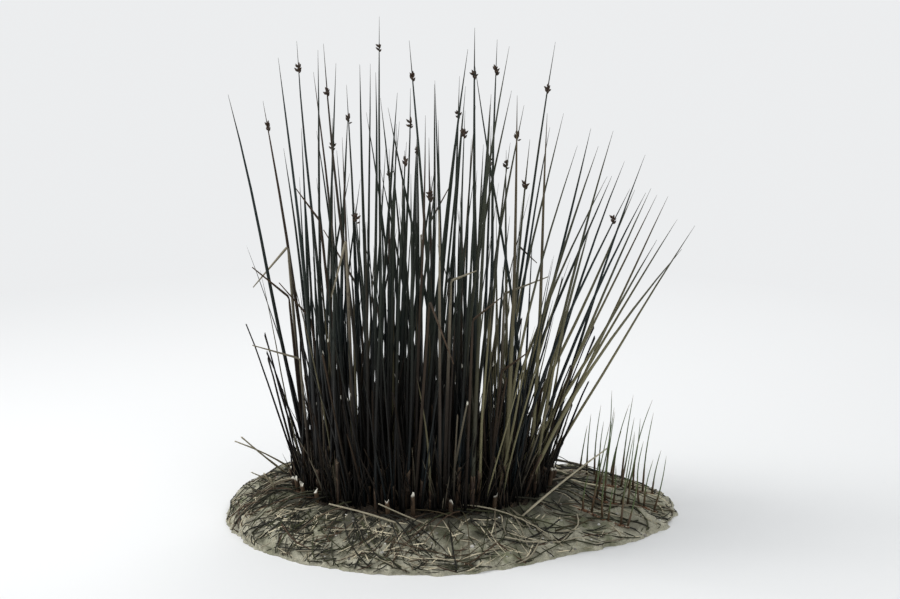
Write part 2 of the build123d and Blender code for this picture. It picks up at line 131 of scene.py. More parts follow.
class ClumpSizes(bpy.types.PropertyGroup):
    """Sizes and numbers of what is grown on the solids."""

    sections: number("Sections", "Rings along a culm", 9, 4)
    thatch: number("Thatch", "Old sheath ends standing on the mat", 2300)
    thatch_height: length("Thatch height", "Height of the longest thatch", 0.17)
    low_culms: number("Low culms", "Shortest withered culms between the others", 150)
    litter: number("Litter", "Bits of old culm lying on the sand", 1150)
    lying_stems: number("Lying stems", "Long withered stems lying over the sand", 150)
    drooping_stems: number("Drooping stems", "Withered stems that hang from the foot onto the sand", 80)
    pebbles: number("Pebbles", "Small stones and bits of shell in the sand", 260)
    spikelets: number("Spikelets", "Spikelets in one head", 10, 3)
    spikelet_length: length("Spikelet length", "Length of a spikelet", 0.0115)
    sand_relief: length("Sand relief", "Depth of the fine hollows in the sand", 0.0021)


class ClumpColours(bpy.types.PropertyGroup):
    """Colours of the clump's finishes, linear."""

    # Near black: a culm's own dark foot, and low in the clump also painted shade of the dense growth
    foot: colour("Foot", "Dark foot of a culm", (0.0045, 0.0042, 0.0034))
    green: colour("Green", "Middle of a green culm", (0.015, 0.022, 0.013))
    upper: colour("Upper", "Upper part of a green culm", (0.024, 0.032, 0.019))
    tip: colour("Tip", "Dried tip of a culm", (0.055, 0.040, 0.024))
    dead: colour("Dead", "Brown of an old culm", (0.10, 0.062, 0.034))
    straw: colour("Straw", "Bleached straw", (0.46, 0.41, 0.29))
    sheath: colour("Sheath", "Chestnut of a sheath", (0.040, 0.021, 0.012))
    spikelet: colour("Spikelet", "Dark scales of a spikelet", (0.017, 0.010, 0.007))
    pith: colour("Pith", "White pith at a broken end", (0.80, 0.77, 0.66))
    mat: colour("Mat", "Peat and roots", (0.012, 0.009, 0.006))
    sand: colour("Sand", "Dry sand", (0.60, 0.57, 0.435))
    algae: colour("Algae", "Green film on damp sand", (0.15, 0.17, 0.075))
    runner: colour("Runner", "Skin of a creeping rhizome", (0.16, 0.075, 0.035))
    shoot: colour("Shoot", "Young shoot", (0.10, 0.15, 0.045))


class ClumpStage(bpy.types.PropertyGroup):
    """Camera, floor and light."""

    distance: length("Distance", "From the camera to the clump, level", 4.75)
    eye: length("Eye height", "Camera above the underside", 1.67)
    framed: length("Framed height", "Height that fills the picture at the clump", 1.30)
    floor: colour("Floor", "Pale floor", (0.80, 0.80, 0.79))
    backdrop: colour("Backdrop", "Pale ground far behind the clump", (0.84, 0.85, 0.86))


class Value:
    """What a socket gives. Arithmetic on one that gives a number adds Math nodes."""

    def __init__(self, nodes, socket):
        self.nodes = nodes
        self.socket = socket

    def math(self, operation, *operands):
        """A Math node with this operation, on its operands in their order."""
        return self.nodes.node("ShaderNodeMath", {"operation": operation}, dict(enumerate(operands)))

    def __add__(self, other):
        return self.math("ADD", self, other)

    def __rsub__(self, other):
        return self.math("SUBTRACT", other, self)

    def __mul__(self, other):
        return self.math("MULTIPLY", self, other)

    def within(self, low, high):
        """0 below low, 1 above high, and a straight ramp between them."""
        return self.nodes.node("ShaderNodeMapRange", {"clamp": True}, {
            "Value": self, "From Min": low, "From Max": high}, "Result")

    __radd__ = __add__
    __rmul__ = __mul__


def set_stops(elements, stops):
    """Gives a colour ramp its (position, colour) stops."""
    while len(elements) < len(stops):
        elements.new(0.5)
    for element, (position, shade) in zip(elements, stops):
        element.position = position
        element.color = (*tuple(shade)[:3], 1.0)


class Nodes:
    """The nodes of a material or of the world."""

    def __init__(self, owner):
        owner.use_nodes = True
        self.tree = owner.node_tree
        self.tree.nodes.clear()

    def connect(self, value, socket):
        """Feeds a socket from another socket, or sets its own number or colour."""
        if isinstance(value, Value):
            self.tree.links.new(value.socket, socket)
        elif socket.type == "RGBA":
            socket.default_value = (*tuple(value)[:3], 1.0)
        else:
            socket.default_value = value

    def node(self, kind, settings=None, inputs=None, output=0):
        """Any node by its type: its settings or a ramp's stops first, then its sockets' values or links."""
        node = self.tree.nodes.new(kind)
        for key, value in (settings or {}).items():
            if key == "stops":
                set_stops(node.color_ramp.elements, value)
            else:
                setattr(node, key, value)
        for key, value in (inputs or {}).items():
            self.connect(value, node.inputs[key])
        return Value(self, node.outputs[output]) if node.outputs else None


class Finish(Nodes):
    """One material, with short ways to add what its pattern needs."""

    def __init__(self, name):
        self.material = bpy.data.materials.new(name)
        super().__init__(self.material)

    def ramp(self, value, stops):
        """A colour ramp through (position, colour) stops."""
        return self.node("ShaderNodeValToRGB", {"stops": stops}, {"Fac": value}, "Color")

    def blend(self, factor, first, second, kind="MIX"):
        """Mixes two colours."""
        settings = {"data_type": "RGBA", "blend_type": kind}
        return self.node("ShaderNodeMix", settings, {0: factor, 6: first, 7: second}, 2)

    def attribute(self, name):
        """A number stored on the mesh's points."""
        return self.node("ShaderNodeAttribute", {"attribute_name": name}, output="Fac")

    def place(self, stretch=(1.0, 1.0, 1.0)):
        """Object coordinates in metres, stretched along the axes."""
        where = self.node("ShaderNodeTexCoord", output="Object")
        return self.node("ShaderNodeMapping", inputs={"Vector": where, "Scale": stretch})

    def axis(self, name):
        """One of the object coordinates, in metres."""
        where = self.node("ShaderNodeTexCoord", output="Object")
        return self.node("ShaderNodeSeparateXYZ", inputs={"Vector": where}, output=name)

    def noise(self, scale, detail=3.0, stretch=(1.0, 1.0, 1.0), roughness=0.55):
        """Smooth noise from about 0 to 1, with scale lumps to a metre."""
        inputs = {"Vector": self.place(stretch), "Scale": scale, "Detail": detail, "Roughness": roughness}
        return self.node("ShaderNodeTexNoise", inputs=inputs, output="Fac")

    def cells(self, scale, feature="F1", stretch=(1.0, 1.0, 1.0), output="Distance"):
        """Distance within, or colour of, each of scale cells to a metre."""
        return self.node("ShaderNodeTexVoronoi", {"feature": feature}, {
            "Vector": self.place(stretch), "Scale": scale}, output)

    def shader(self, base, roughness, specular, **more):
        """A Principled shader with this colour, roughness and gloss."""
        inputs = {"Base Color": base, "Roughness": roughness, "Specular IOR Level": specular, **more}
        return self.node("ShaderNodeBsdfPrincipled", inputs=inputs)

    def shown(self, surface):
        """The material, with this surface on its output."""
        self.node("ShaderNodeOutputMaterial", inputs={"Surface": surface})
        return self.material

    def finished(self, base, roughness, relief, depth, specular):
        """The material with its shader, and with relief as a bump of this depth in metres."""
        bump = self.node("ShaderNodeBump", inputs={"Height": relief, "Distance": depth, "Strength": 0.8})
        return self.shown(self.shader(base, roughness, specular, Normal=bump))


def dimmed(shade, share):
    """A colour made lighter or darker by a share."""
    return tuple(min(1.0, part * share) for part in shade)


def green_culm_finish(colours):
    """Near black at the foot, its own colour deepened by painted shade; dark green above, dried at the tip;
    some culms brown, with painted sky reflection and painted olive sunlight on others.
    """
    finish = Finish("green_culm")
    way, tone = finish.attribute("way"), finish.attribute("tone")
    height = finish.axis("Z").within(0.08, 1.0)
    # The dark low part of both height ramps is painted shade deep in the dense clump, over the culms' own
    # dark foot
    green = finish.ramp(height, (
        (0.0, colours.foot), (0.26, dimmed(colours.foot, 1.3)), (0.44, dimmed(colours.green, 0.7)),
        (0.7, colours.green), (1.0, colours.upper)))
    brown = finish.ramp(height, (
        (0.0, colours.foot), (0.26, dimmed(colours.dead, 0.12)), (0.5, dimmed(colours.dead, 0.35)),
        (1.0, dimmed(colours.dead, 0.6))))
    # Patches of the culms get a painted blue sky reflection, and a few culms are brown
    painted_sky_reflection = finish.blend(finish.noise(2.1, 1.0).within(0.42, 0.62) * 0.5, green, (0.014, 0.028, 0.034))
    kind = finish.blend(tone.within(0.80, 0.84), painted_sky_reflection, brown)
    # Painted olive sunlight on the low parts of the culms towards +X and of a few others
    lit = finish.axis("X").within(0.08, 0.2) * tone.within(0.4, 0.42) + tone.within(0.93, 0.935) * 0.6
    low = height.within(0.0, 0.06) * (1 - height.within(0.3, 0.55) * 0.75)
    olive = finish.blend(lit.within(0.0, 1.0) * low * 0.9, kind, (0.21, 0.19, 0.105))
    dried = finish.blend(way.within(0.9, 1.0) * 0.7, olive, colours.tip)
    streaks = finish.noise(900.0, 2.0, (1.0, 1.0, 0.02))
    blotches = finish.noise(38.0, 3.0, (1.0, 1.0, 0.45))
    shaded = finish.blend(blotches.within(0.58, 0.72) * 0.4 * height, dried, dimmed(colours.dead, 0.4))
    base = finish.blend(streaks.within(0.35, 0.7) * 0.34, shaded, dimmed(colours.upper, 1.5), "SOFT_LIGHT")
    return finish.finished(base, streaks * 0.22 + 0.38, streaks, 0.0006, 0.25)


def dead_culm_finish(colours):
    """Weathered dark brown length, greyer towards its broken end and bleached past the kink on a few."""
    finish = Finish("dead_culm")
    way, tone = finish.attribute("way"), finish.attribute("tone")
    length = finish.ramp(way, (
        (0.0, colours.foot), (0.2, dimmed(colours.dead, 0.22)), (0.55, dimmed(colours.dead, 0.5)),
        (1.0, dimmed(colours.dead, 0.95))))
    grey = finish.blend(tone * 0.5, length, (0.075, 0.066, 0.055))
    past_kink = tone.within(0.70, 0.74) * way.within(0.25, 0.5)
    bleached = finish.blend(past_kink * 0.8, grey, dimmed(colours.straw, 0.7))
    streaks = finish.noise(700.0, 2.0, (1.0, 1.0, 0.03))
    ribbed = finish.blend(streaks.within(0.3, 0.7) * 0.5, bleached, dimmed(colours.dead, 0.25))
    mould = finish.noise(60.0, 4.0).within(0.58, 0.7)
    base = finish.blend(mould * 0.7, ribbed, (0.02, 0.016, 0.012))
    return finish.finished(base, streaks * 0.2 + 0.6, streaks, 0.0008, 0.25)


def straw_finish(colours):
    """Bleached straw with dark mould freckles and fine ribs."""
    finish = Finish("straw")
    tone = finish.attribute("tone")
    streaks = finish.noise(600.0, 2.0, (1.0, 1.0, 0.5))
    freckles = finish.noise(240.0, 4.0).within(0.6, 0.68)
    pale = finish.blend(tone, colours.straw, dimmed(colours.straw, 0.45))
    ribbed = finish.blend(streaks.within(0.35, 0.7) * 0.5, pale, dimmed(colours.straw, 0.6))
    base = finish.blend(freckles * 0.75, ribbed, (0.07, 0.05, 0.03))
    return finish.finished(base, streaks * 0.2 + 0.55, streaks, 0.0006, 0.3)


def litter_finish(colours):
    """Old bits from near black through olive and brown to bleached straw."""
    finish = Finish("litter")
    tone = finish.attribute("tone")
    kind = finish.ramp(tone, (
        (0.0, (0.008, 0.008, 0.006)), (0.3, (0.020, 0.020, 0.011)), (0.5, (0.062, 0.066, 0.030)),
        (0.58, (0.066, 0.040, 0.024)), (0.63, dimmed(colours.dead, 0.8)),
        (0.69, dimmed(colours.straw, 0.5)), (0.79, colours.straw), (0.96, dimmed(colours.straw, 1.7))))
    freckles = finish.noise(260.0, 4.0).within(0.56, 0.68)
    base = finish.blend(freckles * 0.6, kind, (0.05, 0.04, 0.028))
    return finish.finished(base, 0.72, freckles, 0.0005, 0.25)


def pebble_finish():
    """Pale stones and shell chips, each of its own grey, with a darker mottle."""
    finish = Finish("pebble")
    tone = finish.attribute("tone")
    kind = finish.ramp(tone, (
        (0.0, (0.07, 0.065, 0.055)), (0.4, (0.24, 0.225, 0.19)), (0.75, (0.48, 0.46, 0.41)),
        (1.0, (0.75, 0.73, 0.68))))
    mottle = finish.noise(380.0, 4.0)
    base = finish.blend(mottle.within(0.5, 0.7) * 0.5, kind, (0.12, 0.11, 0.09))
    return finish.finished(base, 0.6, mottle, 0.0006, 0.35)


def sheath_finish(colours):
    """Chestnut sheath, near black at its foot and papery brown at its torn mouth."""
    finish = Finish("sheath")
    way, tone = finish.attribute("way"), finish.attribute("tone")
    length = finish.ramp(way, (
        (0.0, dimmed(colours.sheath, 0.25)), (0.35, dimmed(colours.sheath, 0.7)), (0.75, colours.sheath),
        (1.0, (0.11, 0.072, 0.040))))
    veins = finish.noise(1100.0, 2.0, (1.0, 1.0, 0.03))
    aged = finish.blend(tone * 0.5, length, (0.10, 0.065, 0.034))
    base = finish.blend(veins.within(0.4, 0.66) * 0.55, aged, dimmed(colours.sheath, 0.3))
    return finish.finished(base, veins * 0.25 + 0.38, veins, 0.0009, 0.4)


def spikelet_finish(colours):
    """Overlapping dark scales with paler papery edges."""
    finish = Finish("spikelet")
    way, tone = finish.attribute("way"), finish.attribute("tone")
    scales = finish.cells(420.0, stretch=(1.0, 1.0, 0.55))
    dark = finish.blend(tone * 0.6, colours.spikelet, dimmed(colours.spikelet, 2.4))
    edged = finish.blend(scales.within(0.34, 0.62) * 0.6, dark, (0.085, 0.052, 0.03))
    base = finish.blend(way.within(0.8, 1.0) * 0.3, edged, (0.08, 0.05, 0.027))
    return finish.finished(base, 0.62, 1 - scales, 0.0012, 0.3)


def stub_finish(colours):
    """Brown skin with white pith on the broken end."""
    finish = Finish("stub")
    pith, tone = finish.attribute("pith"), finish.attribute("tone")
    streaks = finish.noise(800.0, 2.0, (1.0, 1.0, 0.03))
    skin = finish.blend(tone, dimmed(colours.dead, 0.5), dimmed(colours.dead, 1.1))
    ribbed = finish.blend(streaks.within(0.35, 0.7) * 0.5, skin, dimmed(colours.foot, 1.4))
    spongy = finish.blend(finish.cells(900.0) * 0.7, colours.pith, dimmed(colours.pith, 0.55))
    base = finish.blend(pith.within(0.35, 0.65), ribbed, spongy)
    return finish.finished(base, streaks * 0.2 + 0.6, streaks, 0.0008, 0.25)


def runner_finish(colours):
    """Red-brown scaly rhizome, dark in the folds of its joints and dusted with sand."""
    finish = Finish("runner")
    folds = finish.attribute("fold")
    rough = finish.noise(420.0, 4.0)
    skin = finish.blend(rough.within(0.35, 0.7) * 0.7, colours.runner, dimmed(colours.runner, 0.4))
    joined = finish.blend(folds, skin, (0.028, 0.016, 0.010))
    dust = finish.noise(170.0, 3.0).within(0.56, 0.64)
    base = finish.blend(dust * 0.7, joined, dimmed(colours.sand, 0.8))
    return finish.finished(base, 0.72, rough, 0.0012, 0.3)


def shoot_finish(colours):
    """Fresh green point over a wine-brown foot."""
    finish = Finish("shoot")
    way = finish.attribute("way")
    length = finish.ramp(way, (
        (0.0, (0.05, 0.022, 0.014)), (0.22, (0.10, 0.052, 0.026)), (0.38, dimmed(colours.shoot, 0.7)),
        (0.85, colours.shoot), (1.0, (0.20, 0.13, 0.055))))
    streaks = finish.noise(900.0, 2.0, (1.0, 1.0, 0.03))
    base = finish.blend(streaks.within(0.3, 0.7) * 0.3, length, dimmed(colours.shoot, 0.5))
    return finish.finished(base, 0.42, streaks, 0.0005, 0.45)


def mat_finish(colours):
    """Black-brown peat crossed by paler dead roots."""
    finish = Finish("root_mat")
    crumbs = finish.noise(180.0, 6.0, roughness=0.7)
    threads = finish.cells(90.0, "DISTANCE_TO_EDGE")
    root = 1 - threads.within(0.0, 0.07)
    peat = finish.blend(crumbs.within(0.35, 0.7), colours.mat, dimmed(colours.mat, 3.2))
    base = finish.blend(root * crumbs.within(0.42, 0.6) * 0.7, peat, (0.13, 0.085, 0.048))
    return finish.finished(base, crumbs * 0.15 + 0.8, crumbs + root * 0.6, 0.004, 0.2)


def thatch_finish(colours):
    """Old sheath ends: near black at the foot, their own sodden colour deepened by painted shade deep in
    the clump, drier at the top, with pith on some broken ends.
    """
    finish = Finish("thatch")
    way, tone = finish.attribute("way"), finish.attribute("tone")
    dry = finish.ramp(tone, (
        (0.0, dimmed(colours.foot, 1.3)), (0.6, dimmed(colours.dead, 0.14)),
        (0.9, dimmed(colours.dead, 0.4)), (1.0, dimmed(colours.straw, 0.4))))
    # Darker towards the foot of each sheath end: painted shade deep in the clump over its own dark colour
    skin = finish.blend(way.within(0.1, 0.9), dimmed(colours.foot, 0.8), dry)
    base = finish.blend(finish.attribute("pith").within(0.86, 0.92), skin, dimmed(colours.pith, 0.8))
    grain = finish.noise(700.0, 2.0, (1.0, 1.0, 0.05))
    return finish.finished(base, 0.75, grain, 0.0006, 0.2)


def sand_finish(colours):
    """Pale grains with dark specks, a green film in patches, and a dark band round the mat that is partly
    sodden sand and partly painted shadow.
    """
    finish = Finish("sand")
    damp = finish.attribute("damp")
    grains = finish.cells(1500.0, output="Color")
    grain_tone = finish.node("ShaderNodeRGBToBW", inputs={"Color": grains})
    lumps = finish.noise(26.0, 5.0, roughness=0.6)
    drift = finish.noise(7.0, 3.0)
    dry = finish.blend(grain_tone.within(0.15, 0.85), dimmed(colours.sand, 0.66), dimmed(colours.sand, 1.3))
    warm = finish.blend(lumps.within(0.35, 0.65) * 0.4, dry, dimmed(colours.sand, 0.55))
    crumbs = finish.noise(115.0, 5.0, roughness=0.7)
    crumbly = finish.blend(crumbs.within(0.5, 0.64) * 0.5, warm, dimmed(colours.sand, 0.34))
    film = (drift.within(0.44, 0.62) * lumps.within(0.4, 0.58) + damp * 0.3) * 0.75
    green = finish.blend(film, crumbly, colours.algae)
    # Darkens the sand where it is sodden and where shadow is painted, along the band round the mat and in
    # the shadow blots; the green film above follows them too
    wet_and_shadowed = finish.blend(damp * 0.85, green, (0.040, 0.036, 0.026))
    specks = finish.cells(520.0).within(0.0, 0.16)
    base = finish.blend((1 - specks) * 0.7, wet_and_shadowed, (0.05, 0.04, 0.032))
    fine = finish.noise(900.0, 3.0)
    relief = fine * 0.4 + lumps * 1.2 + crumbs * 1.3 + grain_tone * 0.2
    return finish.finished(base, 0.9 - damp * 0.25, relief, 0.006, 0.25)


def new_piece(name, points, faces, material, attributes, node=None, flat_faces=0):
    """A mesh piece from arrays, smooth but for its last flat_faces faces, riding on the clump's body.

    With a node given, the piece takes that node's place.
    """
    mesh = bpy.data.meshes.new(name)
    mesh.from_pydata(points, [], faces)
    smooth = np.arange(len(mesh.polygons)) < len(mesh.polygons) - flat_faces
    mesh.polygons.foreach_set("use_smooth", smooth)
    for key, values in attributes.items():
        stored = mesh.attributes.new(key, "FLOAT", "POINT")
        stored.data.foreach_set("value", np.ravel(values).astype(np.float32))
    mesh.materials.append(material)
    mesh.update()
    piece = bpy.data.objects.new(name, mesh)
    bpy.context.scene.collection.objects.link(piece)
    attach(piece, "root")
    if node is not None:
        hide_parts(node)


def stem_piece(name, grid, material, slot, node=None, flat_caps=True, **attributes):
    """One piece from a grid of stems, rings and corners, with a cap on both ends of each stem.

    Its attributes are spread over the grid. They hold a column of one number a ring, or one a stem.
    """
    stems, rings, corners = grid.shape[:3]
    index = np.arange(stems * rings * corners).reshape(stems, rings, corners)
    turned = np.roll(index, -1, axis=2)
    sides = np.stack([index[:, :-1], turned[:, :-1], turned[:, 1:], index[:, 1:]], axis=-1)
    caps = np.concatenate([index[:, 0, ::-1], index[:, -1]])
    faces = sides.reshape(-1, 4).tolist() + caps.tolist()
    spread = {key: np.broadcast_to(value, grid.shape[:3]) for key, value in attributes.items()}
    flat_faces = len(caps) if flat_caps else 0
    new_piece(name, grid.reshape(-1, 3), faces, material, spread, node, flat_faces)


def swept(paths, widths, turns, profile):
    """Rings along paths: each point is the path's point plus the profile's arm there.

    An arm lies in the plane square to the path. Its angle counts from the level direction that is
    square to the stem's heading, and its length is the ring's width times the profile's share.
    """
    along = np.gradient(paths, axis=1)
    along /= np.linalg.norm(along, axis=2, keepdims=True)
    heading = paths[:, -1] - paths[:, 0]
    side = np.stack([-heading[:, 1], heading[:, 0], np.zeros(len(heading))], axis=1)
    side[np.linalg.norm(side, axis=1) < 1e-6] = (1.0, 0.0, 0.0)
    side = np.repeat(side[:, None], paths.shape[1], axis=1)
    side -= np.sum(side * along, axis=2, keepdims=True) * along
    side /= np.linalg.norm(side, axis=2, keepdims=True)
    across = np.cross(along, side)
    angles = turns[:, None, None] + profile[0]
    reach = widths[:, :, None] * profile[1]
    arms = np.cos(angles)[..., None] * side[:, :, None] + np.sin(angles)[..., None] * across[:, :, None]
    return paths[:, :, None] + reach[..., None] * arms


def swept_loose(rng, paths, widths, profile):
    """Rings along paths, with each stem turned about itself at random."""
    return swept(paths, widths, rng.uniform(0, math.tau, len(paths)), profile)


def blunt_section(corners=6, hollow=0.2):
    """Angles and shares of a three-sided section: 1 at a corner, 1 - hollow on a side, a cosine between."""
    angles = np.arange(corners) * math.tau / corners
    return angles, 1 - hollow * (1 - np.cos(3 * angles)) / 2


def round_section(corners):
    """Angles and shares of a round section."""
    return np.arange(corners) * math.tau / corners, np.ones(corners)


def tones(rng, count):
    """A random tone from 0 to 1 for each stem."""
    return rng.random((count, 1, 1))


def bare_ends(rng, count, rings, share=0.2):
    """1 on the last ring of a share of the stems, whose white pith shows, and 0 elsewhere."""
    pith = np.zeros((count, rings, 1))
    pith[:, -1, 0] = rng.random(count) < share
    return pith


def waves(points, lump, seed, count=26):
    """Smooth random field from about -1 to 1: sine waves of about one lump, in random directions."""
    rng = np.random.default_rng(seed)
    directions = rng.normal(size=(count, 3))
    directions /= np.linalg.norm(directions, axis=1, keepdims=True)
    pace = math.tau / (lump * rng.uniform(0.7, 1.6, count))
    phases = points @ (directions * pace[:, None]).T + rng.uniform(0, math.tau, count)
    return np.sin(phases).sum(axis=-1) / count ** 0.5


def solid_points(node):
    """The corner points of each separate solid of a node, from its mesh.

    Equal points are merged, and each takes the lowest number among its triangles' points, until none
    changes.
    """
    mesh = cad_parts[node].data
    points = np.empty(3 * len(mesh.vertices))
    mesh.vertices.foreach_get("co", points)
    corners = np.empty(len(mesh.loops), dtype=np.int32)
    mesh.loops.foreach_get("vertex_index", corners)
    points, same = np.unique(np.round(points.reshape(-1, 3), 6), axis=0, return_inverse=True)
    triangles = same.reshape(-1)[corners].reshape(-1, 3)
    label = np.arange(len(points))
    while True:
        lowest = label[triangles].min(axis=1)
        spread = label.copy()
        np.minimum.at(spread, triangles, np.repeat(lowest[:, None], 3, axis=1))
        if np.array_equal(spread, label):
            break
        label = spread
    return [points[label == number] for number in np.unique(label)]


def sections(points):
    """Corners, centre and mean radius of each section of one solid stem."""
    near = np.linalg.norm(points[:, None] - points[None], axis=2) < SECTION_REACH
    ring = near.argmax(axis=1)
    rings = [points[ring == number] for number in np.unique(ring)]
    centres = np.array([corners.mean(axis=0) for corners in rings])
    spans = [np.linalg.norm(ring - centre, axis=1).mean() for ring, centre in zip(rings, centres)]
    return rings, centres, np.array(spans)


def stem_axes(node, axis=2, marks=None):
    """Section centres, section radii and turn of each solid stem of a node, lowest first along an axis.

    With marks given, a stem that has fewer sections gets the ones at these shares of its rise.
    """
    joints, radii, turns = [], [], []
    for points in solid_points(node):
        rings, centres, spans = sections(points)
        order = centres[:, axis].argsort(kind="stable")
        centres, spans = centres[order], spans[order]
        first = rings[order[0]][0] - centres[0]
        if marks is not None and len(centres) < len(marks):
            rise = (centres[:, 2] - centres[0, 2]) / (centres[-1, 2] - centres[0, 2])
            spans = np.interp(marks, rise, spans)
            centres = smooth_paths(centres[None], marks)[0]
        joints.append(centres)
        radii.append(spans)
        turns.append(math.atan2(first[1], first[0]))
    return np.array(joints), np.array(radii), np.array(turns)


def culm_sectors(seed):
    """Each sector's name, its own random numbers, and the axes of its culms as stem_axes gives them."""
    for place, sector in enumerate(SECTORS):
        rng = np.random.default_rng([seed, place])
        yield sector, rng, *stem_axes(f"culms_{sector}", marks=CULM_MARKS)


def smooth_paths(joints, ways):
    """Points at shares of the rise of each stem, on the one polynomial through its section centres."""
    rise = (joints[:, :, 2] - joints[:, :1, 2]) / (joints[:, -1:, 2] - joints[:, :1, 2])
    ways = np.broadcast_to(ways, (len(joints), np.shape(ways)[-1]))
    paths = np.zeros((*ways.shape, 3))
    for place in range(joints.shape[1]):
        weight = np.ones(ways.shape)
        for other in range(joints.shape[1]):
            if other != place:
                weight *= (ways - rise[:, other, None]) / (rise[:, place, None] - rise[:, other, None])
        paths += weight[..., None] * joints[:, place, None]
    return paths


def stem_widths(radii, ways, marks=(0, 1)):
    """Widths at shares of each stem, on straight lines between its radii at the marks."""
    ways = np.broadcast_to(ways, (len(radii), np.shape(ways)[-1]))
    return np.array([np.interp(row, marks, spans) for row, spans in zip(ways, radii)])


def relative_turns(joints, turns):
    """Turns counted from the level direction square to each stem's heading."""
    heading = joints[:, -1] - joints[:, 0]
    return turns - np.arctan2(heading[:, 0], -heading[:, 1])


def straight_stems(node, ways):
    """Paths, widths and turns of a node's straight stems, at shares of their length."""
    joints, radii, turns = stem_axes(node)
    paths = joints[:, :1] + (joints[:, 1:] - joints[:, :1]) * ways[:, None]
    return paths, stem_widths(radii, ways), relative_turns(joints, turns)


def bow(rng, paths, ways, amount):
    """Bends each stem sideways by half a sine wave of a random height and direction."""
    bend = rng.normal(0, amount, (len(paths), 1, 2)) * np.sin(math.pi * ways)[:, None]
    paths[:, :, :2] += bend


def lobes(angle):
    """Share by which the outlines of the mat and the sand swell and shrink round the clump."""
    return 1 + 0.02 * np.sin(3 * angle + 0.7) + 0.012 * np.sin(5 * angle + 2.1)


def mat_edge(angle, size):
    """Places on the root mat's lobed outline at an angle, times a size."""
    reach = size * lobes(angle)
    return reach * MAT_HALF.x * np.cos(angle) / MAT_SHRINK, reach * MAT_HALF.y * np.sin(angle) / MAT_SHRINK


def mat_top(x, y):
    """Height of the domed top over a point of the mat."""
    share = np.hypot(x / MAT_HALF.x, y / MAT_HALF.y)
    return MAT_HEIGHT * np.interp(share, MAT_PROFILE[:0:-1, 1], MAT_PROFILE[:0:-1, 0])


def sand_surface(angle, way, relief):
    """Points on the sand, way 0 at its edge and 1 inside the mat.

    Height, inset, apron and roughness run along the table of the slope. The hummocks are a sum of
    sine waves, the bank a bell curve over the bearing, and finer waves add what the solid leaves out.
    """
    climb = np.linspace(0, 1, len(SAND_PROFILE))
    height, inset, apron, rough = (np.interp(way, climb, column) for column in SAND_PROFILE.T)
    angle = angle % math.tau
    reach = lobes(angle) - 2 * inset / sum(SAND_HALF)
    swing = (angle + math.pi) % math.tau - math.pi
    x = SAND_HALF[0] * reach * np.cos(angle) + APRON_REACH * apron * np.exp(-(swing / APRON_SWING) ** 4)
    y = SAND_HALF[1] * reach * np.sin(angle)
    length, crest, bearing, phase = SAND_WAVES.T
    across = x[..., None] * np.cos(bearing) + y[..., None] * np.sin(bearing)
    hummocks = (crest * np.sin(math.tau * across / length + phase)).sum(axis=-1)
    bank = BANK_HEIGHT * np.exp(-((angle - BANK_BEARING) / BANK_SWING) ** 2)
    points = np.stack([x, y, height + rough * (hummocks + bank)], axis=-1)
    fine = waves(points, 0.045, 3) + 0.7 * waves(points, 0.019, 4) + 0.4 * waves(points, 0.009, 5)
    points[..., 2] += relief * np.minimum(1.0, way * 5) * fine
    fray = FRAY_DEPTH * (1 + waves(points, 0.05, 6) + 0.5 * waves(points, 0.016, 7))
    fray *= np.exp(-((way - 0.05) / 0.12) ** 2)
    points[..., :2] *= (1 - np.clip(fray, 0, None) / SAND_REACH)[..., None]
    points[..., 2] = np.maximum(points[..., 2], 0.0)
    return points


class CLUMP_OT_sand(bpy.types.Operator):
    """Heap the sand round the mat"""

    bl_idname = "clump.sand"
    bl_label = "Sand"

    def execute(self, context):
        steps, climbs = 520, 74
        angle = np.linspace(0, math.tau, steps, endpoint=False)
        climb = np.linspace(0, 1, climbs)[:, None]
        relief = context.scene.clump_sizes.sand_relief
        slope = sand_surface(angle[None], climb * np.ones((1, steps)), relief)
        foot = np.stack([*mat_edge(angle, SAND_INNER), np.zeros(steps)], axis=-1)
        points = np.concatenate([slope, foot[None]])
        climb = np.append(climb, [[1.0]], axis=0)
        # Painted shade on the sand: the sodden band near the mat is widened into the clump's shadow, and
        # blots stand for the shadows between the stems, most at the front left
        gathered = np.exp(-(angle - FRONT_LEFT) ** 2)
        painted_shadow_blots = np.clip(0.3 + 1.2 * waves(points, 0.03, 9), 0, 1) * np.minimum(1.0, 6 * climb)
        damp = climb ** 2.6 + 0.18 * waves(points, 0.06, 8) * (climb > 0.3) + (0.2 + 0.4 * gathered) * painted_shadow_blots
        # Quads of a grid that closes on itself both ways
        index = np.arange((climbs + 1) * steps).reshape(-1, steps)
        right = np.roll(index, -1, axis=1)
        faces = np.stack([index, right, np.roll(right, -1, axis=0), np.roll(index, -1, axis=0)], axis=-1)
        finish = sand_finish(context.scene.clump_colours)
        new_piece("sand", points.reshape(-1, 3), faces.reshape(-1, 4).tolist(), finish,
                  {"damp": np.clip(damp, 0, 1)}, "sand_collar")
        return {"FINISHED"}


class CLUMP_OT_root_mat(bpy.types.Operator):
    """Make the crumbling mat of peat and roots"""

    bl_idname = "clump.root_mat"
    bl_label = "Root mat"

    def execute(self, context):
        steps, climbs = 260, 60
        angle = np.linspace(0, math.tau, steps, endpoint=False)
        climb = np.linspace(0, 1, climbs)[:, None]
        marks = np.linspace(0, 1, len(MAT_PROFILE))
        height, size = (np.interp(climb, marks, column) for column in MAT_PROFILE.T)
        x, y = mat_edge(angle[None], size)
        points = np.stack([x, y, MAT_HEIGHT * height * np.ones((1, steps))], axis=-1)
        rough = waves(points, 0.035, 21) + 0.7 * waves(points, 0.012, 22)
        points[1:, :, 2] += (0.004 * (rough[1:] - 1.0)) * np.minimum(1, 5 * climb[1:])
        under = np.concatenate([points[:1] * (share, share, 0.0) for share in (0.001, 0.4, 0.75)])
        grid = np.concatenate([under, points])[None]
        finish = mat_finish(context.scene.clump_colours)
        stem_piece("root_mound", grid, finish, "root_mat", "root_mat", flat_caps=False)
        return {"FINISHED"}


